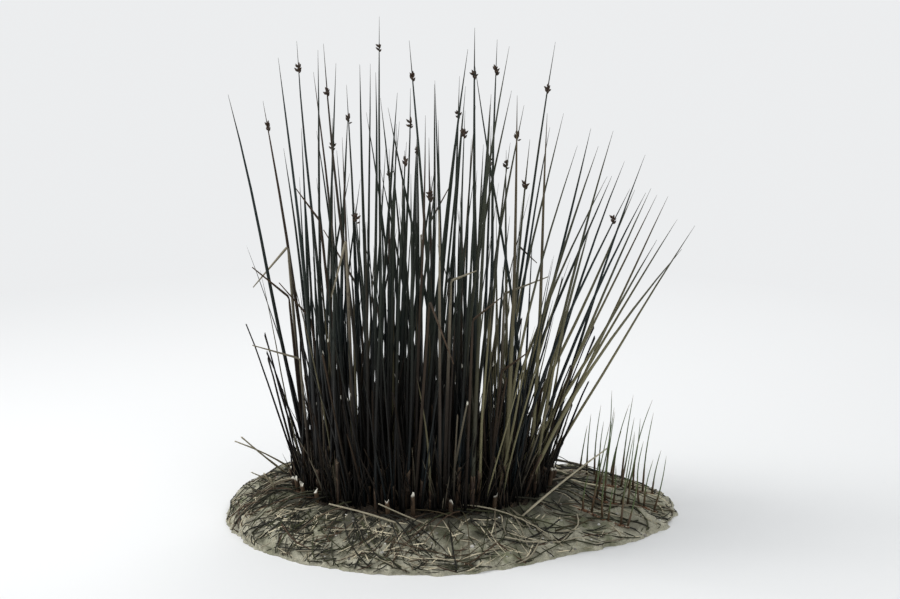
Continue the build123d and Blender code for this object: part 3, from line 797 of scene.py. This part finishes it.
class CLUMP_OT_culms(bpy.types.Operator):
    """Grow the green culms on the axes of their solids"""

    bl_idname = "clump.culms"
    bl_label = "Green culms"

    def execute(self, context):
        finish = green_culm_finish(context.scene.clump_colours)
        ways = np.linspace(0, 1, context.scene.clump_sizes.sections) ** 0.92
        for sector, rng, joints, radii, turns in culm_sectors(7):
            paths = smooth_paths(joints, ways)
            sway = rng.normal(0, 0.0022, (len(joints), 1, 2)) * np.sin(math.tau * ways * 1.5)[:, None]
            paths[:, :, :2] += sway * (1 - ways)[:, None]
            widths = stem_widths(radii, ways, CULM_MARKS)
            widths[:, -1] *= 0.35
            grid = swept(paths, widths, relative_turns(joints, turns), blunt_section())
            stem_piece(f"grown_culms_{sector}", grid, finish, "green_culm", f"culms_{sector}",
                       way=ways[:, None], tone=tones(rng, len(grid)))
        return {"FINISHED"}


class CLUMP_OT_sheaths(bpy.types.Operator):
    """Wrap torn brown sheaths round the feet of the outer culms"""

    bl_idname = "clump.sheaths"
    bl_label = "Sheaths"

    def execute(self, context):
        finish = sheath_finish(context.scene.clump_colours)
        climbs = np.linspace(0, 1, 6)
        for sector, rng, joints, radii, turns in culm_sectors(17):
            sleeves = solid_points(f"sheaths_{sector}")
            feet = np.array([points[points[:, 2].argsort()[:6]].mean(axis=0) for points in sleeves])
            tops = np.array([points[:, 2].max() for points in sleeves])
            owner = np.linalg.norm(joints[None, :, 0, :2] - feet[:, None, :2], axis=2).argmin(axis=1)
            joints, radii, turns = joints[owner], radii[owner], relative_turns(joints, turns)[owner]
            rise = joints[:, -1, 2] - joints[:, 0, 2]
            layers = []
            for share, wall in SHEATH_LAYERS:
                low = SHEATH_FOOT / rise
                high = share * (tops - joints[:, 0, 2]) / rise
                ways = low[:, None] + climbs * (high - low)[:, None]
                widths = stem_widths(radii, ways, CULM_MARKS) + wall * (1 - 0.4 * climbs)
                sleeve = swept(smooth_paths(joints, ways), widths, turns, blunt_section(SHEATH_CORNERS))
                self.tear(rng, sleeve, SHEATH_TEAR * share)
                layers.append(sleeve)
            grid = np.concatenate(layers)
            stem_piece(f"grown_sheaths_{sector}", grid, finish, "sheath", f"sheaths_{sector}",
                       way=climbs[:, None], tone=tones(rng, len(grid)))
        return {"FINISHED"}

    @staticmethod
    def tear(rng, grid, deepest):
        """Draws the mouth of each sleeve down along its culm, most at one slit and raggedly elsewhere."""
        angles, _ = blunt_section(SHEATH_CORNERS)
        slit = rng.uniform(0, math.tau, (len(grid), 1))
        torn = 0.5 + 0.5 * np.cos(angles - slit) + 0.25 * rng.random((len(grid), len(angles)))
        down = (grid[:, -2] - grid[:, -1]).mean(axis=1)
        spacing = np.linalg.norm(down, axis=1)
        reach = np.minimum(deepest, 0.6 * spacing) / spacing
        drop = (reach[:, None] * torn)[..., None] * down[:, None]
        grid[:, -1] += drop
        grid[:, -2] += 0.375 * drop


class CLUMP_OT_heads(bpy.types.Operator):
    """Set spikelet heads on the tallest culms"""

    bl_idname = "clump.heads"
    bl_label = "Spikelet heads"

    def execute(self, context):
        sizes = context.scene.clump_sizes
        finish = spikelet_finish(context.scene.clump_colours)
        climbs = np.linspace(0, 1, len(SPIKELET_GIRTH))
        for sector, rng, joints, _, _ in culm_sectors(27):
            fine = smooth_paths(joints, np.linspace(0.7, 1.0, 120))
            middles = []
            for points in solid_points(f"heads_{sector}"):
                middle = points.mean(axis=0)
                if all(np.linalg.norm(middle - other) > HEAD_GAP for other in middles):
                    middles.append(middle)
            starts, outs, lengths = zip(*(self.spray(rng, sizes, fine, middle) for middle in middles))
            start, out, length = np.concatenate(starts), np.concatenate(outs), np.concatenate(lengths)
            paths = start[:, None] + climbs[:, None] * (length[:, None] * out)[:, None]
            grid = swept_loose(rng, paths, length[:, None] * 0.22 * SPIKELET_GIRTH, round_section(7))
            stem_piece(f"grown_heads_{sector}", grid, finish, "spikelet", f"heads_{sector}",
                       way=climbs[:, None], tone=tones(rng, len(grid)))
        return {"FINISHED"}

    @staticmethod
    def spray(rng, sizes, fine, middle):
        """Starts, directions and lengths of the spikelets of one head, which wind up the nearest culm."""
        count = sizes.spikelets
        gap = np.linalg.norm(fine - middle, axis=2)
        foot = fine[np.unravel_index(gap.argmin(), gap.shape)] - (0, 0, 0.006)
        bearing = math.tau * (np.arange(count) / count * 2.0) + rng.uniform(-0.4, 0.4, count)
        slope = np.radians(rng.uniform(24, 80, count))
        out = np.stack([np.cos(bearing) * np.cos(slope), np.sin(bearing) * np.cos(slope), np.sin(slope)], 1)
        climb = np.arange(count)[:, None] * 0.0016 * np.array([[0, 0, 1.0]])
        return foot + climb + out * 0.0012, out, sizes.spikelet_length * rng.uniform(0.65, 1.1, count)


class CLUMP_OT_dead_culms(bpy.types.Operator):
    """Snap the dead culms over"""

    bl_idname = "clump.dead_culms"
    bl_label = "Dead culms"

    def execute(self, context):
        rng = np.random.default_rng(41)
        joints, radii = [], []
        for points in solid_points("dead_culms"):
            _, centres, spans = sections(points)
            order = (-spans).argsort()
            joints.append(centres[order])
            radii.append(spans[order])
        foot, kink, end = np.array(joints).transpose(1, 0, 2)[:, :, None]
        # The stem rises to its kink, turns over in a short tight bend and runs on to its end
        rising = foot + (kink - foot) * np.array((0, 0.35, 0.7, 0.95, 0.99))[:, None]
        falling = kink + (end - kink) * np.array((0.04, 0.12, 0.5, 1.0))[:, None]
        paths = np.concatenate([rising, falling], axis=1)
        shares = np.array((0, 0.35, 0.7, 0.95, 1.0, 1.04, 1.12, 1.5, 2.0))
        widths = stem_widths(radii, shares, (0, 1, 2))
        widths[:, 3:6] *= (0.9, 0.62, 0.9)
        grid = swept_loose(rng, paths, widths, blunt_section())
        finish = dead_culm_finish(context.scene.clump_colours)
        stem_piece("kinked_culms", grid, finish, "dead_culm", "dead_culms",
                   way=shares[:, None] / 2, tone=tones(rng, len(grid)))
        return {"FINISHED"}


class CLUMP_OT_straw(bpy.types.Operator):
    """Lay the pale fallen straw"""

    bl_idname = "clump.straw"
    bl_label = "Fallen straw"

    def execute(self, context):
        rng = np.random.default_rng(51)
        ways = np.linspace(0, 1, 7)
        paths, widths, _ = straight_stems("fallen_straw", ways)
        paths[:, :, 2] += 0.006 * np.sin(math.pi * ways) * rng.uniform(-1, 1, (len(paths), 1))
        widths *= 1 + 0.08 * rng.normal(size=widths.shape)
        grid = swept_loose(rng, paths, widths, blunt_section())
        stem_piece("pale_straw", grid, straw_finish(context.scene.clump_colours), "straw", "fallen_straw",
                   tone=tones(rng, len(grid)) * 0.6)
        return {"FINISHED"}


class CLUMP_OT_stubs(bpy.types.Operator):
    """Break off the old stubs, with their white pith showing"""

    bl_idname = "clump.stubs"
    bl_label = "Broken stubs"

    def execute(self, context):
        rng = np.random.default_rng(61)
        # Share of the length, girth and bare pith of each ring
        ways, girth, pith = np.array([
            (0.0, 1.0, 0), (0.35, 1.0, 0), (0.7, 0.96, 0),
            (0.88, 0.93, 0.55), (0.90, 0.78, 1), (0.91, 0.1, 1)]).T
        paths, widths, _ = straight_stems("broken_stubs", ways)
        grid = swept_loose(rng, paths, widths * girth, blunt_section())
        ragged = rng.uniform(-0.006, 0.006, (len(paths), 6))
        grid[:, 3, :, 2] += ragged + 0.001
        grid[:, 4, :, 2] += ragged - 0.0008
        grid[:, 5, :, 2] -= 0.003
        stem_piece("torn_stubs", grid, stub_finish(context.scene.clump_colours), "stub", "broken_stubs",
                   pith=pith[:, None], tone=tones(rng, len(grid)))
        return {"FINISHED"}


class CLUMP_OT_runners(bpy.types.Operator):
    """Let the scaly runners creep out of the mat"""

    bl_idname = "clump.runners"
    bl_label = "Runners"

    def execute(self, context):
        finish = runner_finish(context.scene.clump_colours)
        ways = np.linspace(0, 1, 61)
        folded = (np.abs((ways * RUNNER_JOINTS) % 1 - 0.5) > 0.4).astype(float)
        for runner in RUNNERS:
            joints, radii, _ = stem_axes(f"runner_{runner}", axis=0)
            marks = np.linspace(0, 1, joints.shape[1])
            path = np.stack([np.interp(ways, marks, column) for column in joints[0].T], axis=1)
            widths = stem_widths(radii, ways, marks) * (0.92 - 0.14 * folded + 0.06 * np.sin(ways * 90))
            widths[:, -1] *= 0.4
            grid = swept(path[None], widths, np.zeros(1), round_section(10))
            stem_piece(f"grown_runner_{runner}", grid, finish, "runner", f"runner_{runner}",
                       fold=folded[:, None])
        return {"FINISHED"}


class CLUMP_OT_shoots(bpy.types.Operator):
    """Raise young shoots from the runners"""

    bl_idname = "clump.shoots"
    bl_label = "Young shoots"

    def execute(self, context):
        finish = shoot_finish(context.scene.clump_colours)
        ways = np.linspace(0, 1, 9)
        girth = np.interp(ways, (0, 0.28, 0.3, 0.9, 1.0), (1.15, 1.15, 0.92, 0.9, 0.3))
        for runner in RUNNERS:
            rng = np.random.default_rng([71, runner])
            paths, widths, _ = straight_stems(f"shoots_{runner}", ways)
            bow(rng, paths, ways, 0.004)
            grid = swept_loose(rng, paths, widths * girth, blunt_section())
            stem_piece(f"grown_shoots_{runner}", grid, finish, "shoot", f"shoots_{runner}",
                       way=ways[:, None])
        return {"FINISHED"}


def spots_on_mat(rng, count, half, spread=1.0):
    """Places strewn evenly over an oval on the mat, and their bearings."""
    share, angle = np.sqrt(rng.random(count)) * spread, rng.uniform(0, math.tau, count)
    return half[0] * share * np.cos(angle), half[1] * share * np.sin(angle), angle


def standing_paths(x, y, run_x, run_y, height, ways, power):
    """Paths that rise from the mat while they run out sideways by a power of their rise."""
    lean = ways ** power
    foot = mat_top(x, y) - 0.005
    return np.stack([
        x[:, None] + run_x[:, None] * lean,
        y[:, None] + run_y[:, None] * lean,
        foot[:, None] + height[:, None] * ways], axis=-1)


class CLUMP_OT_thatch(bpy.types.Operator):
    """Stand old sheath ends close on the mat"""

    bl_idname = "clump.thatch"
    bl_label = "Thatch"

    def execute(self, context):
        sizes = context.scene.clump_sizes
        count = sizes.thatch
        rng = np.random.default_rng(81)
        x, y, angle = spots_on_mat(rng, count, THATCH_HALF, 1.02)
        height = sizes.thatch_height * rng.triangular(0.12, 0.3, 1.0, count)
        heading = angle + rng.normal(0, 0.9, count)
        lean = height * rng.uniform(0.0, 0.5, count)
        ways = np.linspace(0, 1, 4)
        paths = standing_paths(x, y, lean * np.cos(heading), lean * np.sin(heading), height, ways, 1.4)
        widths = rng.uniform(0.0014, 0.0036, count)[:, None] * np.array((1.0, 0.95, 0.7, 0.12))
        angles, shares = blunt_section()
        grid = swept_loose(rng, paths, widths, (angles[::2], shares[::2] * np.array((1.0, 0.5, 0.5))))
        stem_piece("thatch", grid, thatch_finish(context.scene.clump_colours), "sheath",
                   way=ways[:, None], tone=tones(rng, count))
        return {"FINISHED"}


class CLUMP_OT_old_culms(bpy.types.Operator):
    """Wither the old culms among the green ones, with their tops broken off"""

    bl_idname = "clump.old_culms"
    bl_label = "Old culms"

    def execute(self, context):
        finish = bpy.data.materials["thatch"]
        ways = np.array((0.0, 0.3, 0.6, 0.85, 1.0))
        for place, quarter in enumerate(QUARTERS):
            rng = np.random.default_rng([85, place])
            paths, widths, turns = straight_stems(f"old_culms_{quarter}", ways)
            bow(rng, paths, ways, 0.003)
            grid = swept(paths, widths, turns, blunt_section())
            grid[:, -1, :, 2] -= rng.uniform(0, 0.012, (len(grid), grid.shape[2]))
            stem_piece(f"withered_culms_{quarter}", grid, finish, "dead_culm", f"old_culms_{quarter}",
                       way=ways[:, None], tone=tones(rng, len(grid)) ** 1.6,
                       pith=bare_ends(rng, len(grid), len(ways)))
        return {"FINISHED"}


class CLUMP_OT_low_culms(bpy.types.Operator):
    """Stand the shortest withered culms between the others"""

    bl_idname = "clump.low_culms"
    bl_label = "Low culms"

    def execute(self, context):
        count = context.scene.clump_sizes.low_culms
        rng = np.random.default_rng(87)
        x, y, _ = spots_on_mat(rng, count, LOW_CULM_HALF)
        height = rng.triangular(0.10, 0.17, 0.26, count)
        run_x = height * (0.26 * x / LOW_CULM_HALF[0] + rng.normal(0, 0.12, count))
        run_y = height * (0.26 * y / LOW_CULM_HALF[1] + rng.normal(0, 0.12, count))
        ways = np.linspace(0, 1, 5)
        paths = standing_paths(x, y, run_x, run_y, height, ways, 1.3)
        widths = rng.uniform(0.0016, 0.0038, count)[:, None] * np.array((1.0, 0.95, 0.85, 0.65, 0.2))
        grid = swept_loose(rng, paths, widths, blunt_section())
        stem_piece("low_culms", grid, bpy.data.materials["thatch"], "dead_culm",
                   way=ways[:, None], tone=tones(rng, count) ** 1.6, pith=bare_ends(rng, count, len(ways)))
        return {"FINISHED"}


def lying_paths(rng, angle, way, lengths, steps):
    """Paths that lie over the hummocks of the sand, each through a point of it in a random heading."""
    turn = rng.uniform(0, math.tau, len(angle))
    swing = 0.5 * lengths * np.cos(turn) / SAND_REACH
    slide = 0.5 * lengths * np.sin(turn) / SLOPE_LENGTH
    room = np.minimum(way - 0.04, 0.97 - way) / np.maximum(np.abs(slide), 1e-6)
    marks = np.linspace(-1, 1, steps) * np.minimum(1.0, room)[:, None]
    return sand_surface(angle[:, None] + swing[:, None] * marks, way[:, None] + slide[:, None] * marks, 0.0)


def strewn_angles(rng, count):
    """Bearings all round the sand, nearly half of them gathered towards its front left."""
    gathered = rng.random(count) < 0.4
    return np.where(gathered, rng.normal(FRONT_LEFT, 0.8, count), rng.uniform(0, math.tau, count))


class CLUMP_OT_litter(bpy.types.Operator):
    """Scatter bits of old culm on the sand"""

    bl_idname = "clump.litter"
    bl_label = "Litter"

    def execute(self, context):
        count = context.scene.clump_sizes.litter
        rng = np.random.default_rng(91)
        angle, way = strewn_angles(rng, count), 0.07 + 0.87 * rng.random(count) ** 0.85
        paths = lying_paths(rng, angle, way, rng.triangular(0.012, 0.024, 0.110, count), 4)
        width = rng.uniform(0.0006, 0.0017, count)
        paths[..., 2] += (0.8 * width + 0.0010)[:, None]
        grid = swept_loose(rng, paths, width[:, None] * np.array((0.6, 1.0, 0.95, 0.5)), round_section(4))
        finish = litter_finish(context.scene.clump_colours)
        stem_piece("litter", grid, finish, "straw", tone=tones(rng, count))
        return {"FINISHED"}


class CLUMP_OT_lying_stems(bpy.types.Operator):
    """Lay long withered stems over the sand"""

    bl_idname = "clump.lying_stems"
    bl_label = "Lying stems"

    def execute(self, context):
        count = context.scene.clump_sizes.lying_stems
        rng = np.random.default_rng(97)
        angle, way = strewn_angles(rng, count), rng.uniform(0.12, 0.9, count)
        paths = lying_paths(rng, angle, way, rng.triangular(0.09, 0.13, 0.26, count), 8)
        width = rng.uniform(0.0011, 0.0021, count)
        paths[..., 2] += (0.8 * width + 0.0012)[:, None]
        widths = width[:, None] * np.array((1.0, 1.0, 0.98, 0.95, 0.9, 0.8, 0.6, 0.25))
        grid = swept_loose(rng, paths, widths, round_section(5))
        stem_piece("lying_stems", grid, bpy.data.materials["litter"], "straw",
                   tone=0.82 * tones(rng, count))
        return {"FINISHED"}


class CLUMP_OT_drooping_stems(bpy.types.Operator):
    """Hang withered stems from the edge of the foot, in low arches that end on the sand"""

    bl_idname = "clump.drooping_stems"
    bl_label = "Drooping stems"

    def execute(self, context):
        count = context.scene.clump_sizes.drooping_stems
        rng = np.random.default_rng(99)
        angle = strewn_angles(rng, count)
        x, y = mat_edge(angle, rng.uniform(0.80, 0.93, count))
        start = np.stack([x, y, mat_top(x, y) - 0.004], axis=1)
        end = sand_surface(angle + rng.normal(0, 0.3, count), rng.uniform(0.12, 0.66, count), 0.0)
        width = rng.uniform(0.0011, 0.0021, count)
        end[:, 2] += width
        ways = np.linspace(0, 1, 8)
        paths = start[:, None] + (end - start)[:, None] * ways[:, None]
        paths[..., 2] += rng.uniform(0.008, 0.030, count)[:, None] * 4 * ways * (1 - ways)
        swing = np.sin(math.pi * ways) * rng.normal(0, 0.006, (count, 1))
        paths[..., 0] -= swing * np.sin(angle)[:, None]
        paths[..., 1] += swing * np.cos(angle)[:, None]
        widths = width[:, None] * np.array((1.0, 1.0, 0.96, 0.9, 0.82, 0.7, 0.5, 0.2))
        grid = swept_loose(rng, paths, widths, round_section(5))
        stem_piece("drooping_stems", grid, bpy.data.materials["litter"], "straw",
                   tone=0.80 * tones(rng, count) ** 1.2)
        return {"FINISHED"}


class CLUMP_OT_pebbles(bpy.types.Operator):
    """Strew small stones and bits of shell over the sand"""

    bl_idname = "clump.pebbles"
    bl_label = "Pebbles"

    def execute(self, context):
        sizes = context.scene.clump_sizes
        count = sizes.pebbles
        rng = np.random.default_rng(95)
        angle, way = rng.uniform(0, math.tau, count), 0.1 + 0.82 * rng.random(count)
        place = sand_surface(angle, way, sizes.sand_relief)
        size = rng.triangular(0.0012, 0.002, 0.0052, count)
        heights = np.array((-0.62, -0.3, 0.1, 0.45, 0.62))
        girths = np.array((0.5, 0.92, 1.0, 0.72, 0.3))
        paths = place[:, None] + (size[:, None] * heights)[..., None] * (0, 0, 1.0)
        grid = swept_loose(rng, paths, size[:, None] * girths, round_section(7))
        middle = place[:, None, None, 1]
        grid[..., 1] = middle + rng.uniform(0.55, 1.0, (count, 1, 1)) * (grid[..., 1] - middle)
        grid += rng.normal(0, 0.07, grid.shape) * size[:, None, None, None]
        stem_piece("pebbles", grid, pebble_finish(), "sand", tone=tones(rng, count))
        return {"FINISHED"}


def add_floor(scene, stage):
    """A wide floor that fades into the backdrop a little way from the clump."""
    mesh = bpy.data.meshes.new("floor")
    corners = [(x * FLOOR_REACH, y * FLOOR_REACH, 0) for x, y in ((-1, -1), (1, -1), (1, 1), (-1, 1))]
    mesh.from_pydata(corners, [], [(0, 1, 2, 3)])
    finish = Finish("pale_floor")
    tint = finish.noise(1.5, 2.0).within(0.3, 0.7)
    base = finish.blend(tint * 0.12, stage.floor, dimmed(stage.floor, 0.95))
    lit = finish.shader(base, 0.8, 0.1)
    where = finish.node("ShaderNodeTexCoord", output="Object")
    distance = finish.node("ShaderNodeVectorMath", {"operation": "LENGTH"}, {0: where}, "Value")
    glow = finish.node("ShaderNodeEmission", inputs={"Color": stage.backdrop, "Strength": 1.0})
    faded = finish.node("ShaderNodeMixShader", inputs={0: distance.within(*FLOOR_FADE), 1: lit, 2: glow})
    mesh.materials.append(finish.shown(faded))
    floor = bpy.data.objects.new("floor", mesh)
    scene.collection.objects.link(floor)


def add_sky(scene, stage):
    """An even dome that lights the clump, and the plain backdrop that the camera sees in its place."""
    world = bpy.data.worlds.new("soft_sky")
    sky = Nodes(world)
    dome = sky.node("ShaderNodeBackground", inputs={"Color": DOME_COLOUR, "Strength": DOME_STRENGTH})
    backdrop = sky.node("ShaderNodeBackground", inputs={"Color": stage.backdrop, "Strength": 1.0})
    seen = sky.node("ShaderNodeLightPath", output="Is Camera Ray")
    mixed = sky.node("ShaderNodeMixShader", inputs={0: seen, 1: dome, 2: backdrop})
    sky.node("ShaderNodeOutputWorld", inputs={"Surface": mixed})
    scene.world = world


def add_aimed(scene, name, data, place):
    """An object at a place that looks at the middle of the clump."""
    aimed = bpy.data.objects.new(name, data)
    aimed.location = place
    aimed.rotation_euler = (AIM - aimed.location).to_track_quat("-Z", "Y").to_euler()
    scene.collection.objects.link(aimed)
    return aimed


class CLUMP_OT_stage(bpy.types.Operator):
    """Set the floor, the light and the camera at the photograph's viewing angle"""

    bl_idname = "clump.stage"
    bl_label = "Stage"

    def execute(self, context):
        scene = context.scene
        stage = scene.clump_stage
        add_floor(scene, stage)
        add_sky(scene, stage)
        for name, place, size, power in LAMPS:
            light = bpy.data.lights.new(name, "AREA")
            light.shape = "DISK"
            light.size = size
            light.energy = power
            add_aimed(scene, name, light, place)
        camera = bpy.data.cameras.new("camera")
        camera.sensor_width = 36.0
        scene.camera = add_aimed(scene, "camera", camera, (0.0, -stage.distance, stage.eye))
        gaze = AIM - scene.camera.location
        camera.lens = camera.sensor_width * gaze.length / (stage.framed * PICTURE[0] / PICTURE[1])
        scene.view_settings.view_transform = "Standard"
        return {"FINISHED"}


OPERATORS = (
    CLUMP_OT_stage, CLUMP_OT_sand, CLUMP_OT_root_mat, CLUMP_OT_culms, CLUMP_OT_sheaths,
    CLUMP_OT_heads, CLUMP_OT_dead_culms, CLUMP_OT_straw, CLUMP_OT_stubs, CLUMP_OT_runners, CLUMP_OT_shoots,
    CLUMP_OT_thatch, CLUMP_OT_old_culms, CLUMP_OT_low_culms, CLUMP_OT_litter, CLUMP_OT_lying_stems,
    CLUMP_OT_drooping_stems, CLUMP_OT_pebbles,
)


class CLUMP_PT_panel(bpy.types.Panel):
    """The clump's sizes, colours and pieces"""

    bl_idname = "CLUMP_PT_panel"
    bl_label = "Bulrush Clump"
    bl_space_type = "VIEW_3D"
    bl_region_type = "UI"
    bl_category = "Clump"

    def draw(self, context):
        for group in (context.scene.clump_sizes, context.scene.clump_colours, context.scene.clump_stage):
            box = self.layout.box()
            for name in group.__annotations__:
                box.prop(group, name)
        for operator in OPERATORS:
            self.layout.operator(operator.bl_idname)


GROUPS = (("clump_sizes", ClumpSizes), ("clump_colours", ClumpColours), ("clump_stage", ClumpStage))


def register():
    for name, group in GROUPS:
        bpy.utils.register_class(group)
        setattr(bpy.types.Scene, name, bpy.props.PointerProperty(type=group))
    for operator in OPERATORS:
        bpy.utils.register_class(operator)
    bpy.utils.register_class(CLUMP_PT_panel)


def unregister():
    bpy.utils.unregister_class(CLUMP_PT_panel)
    for operator in reversed(OPERATORS):
        bpy.utils.unregister_class(operator)
    for name, group in reversed(GROUPS):
        delattr(bpy.types.Scene, name)
        bpy.utils.unregister_class(group)


def main():
    """Registers the add-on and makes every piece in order."""
    register()
    for operator in OPERATORS:
        category, name = operator.bl_idname.split(".")
        getattr(getattr(bpy.ops, category), name)()


if __name__ == "__main__":
    main()
